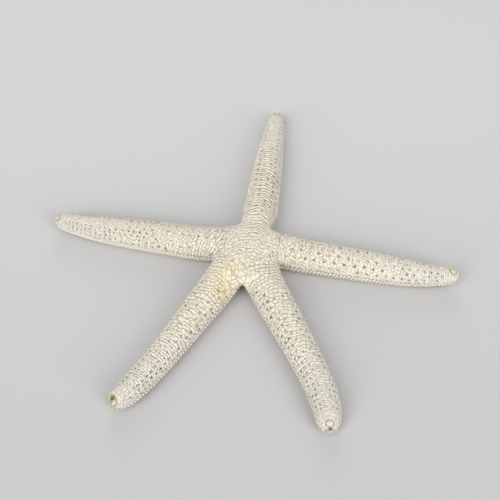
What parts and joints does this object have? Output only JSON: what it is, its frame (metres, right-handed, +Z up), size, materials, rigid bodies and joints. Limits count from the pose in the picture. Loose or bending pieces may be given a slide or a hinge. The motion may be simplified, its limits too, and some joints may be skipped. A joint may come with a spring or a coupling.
{
  "type": "dried starfish",
  "caption": "Dried finger starfish lying flat: a small disc with long slender rounded arms, a skin of granular plates and pore pits, and a grooved flat underside.",
  "frame": {"origin": "middle of the bounding box, on the flat underside", "axes": "+Z up out of the back of the disc; +Y roughly along the narrowest arm; +X roughly along the arm to its right"},
  "size_m": [0.1572, 0.1532, 0.0133],
  "materials": {
    "skin": "dry, matt, chalky cream plates with brownish pores"
  },
  "bodies": {
    "root": {"starfish": "skin"}
  },
  "joints": []
}
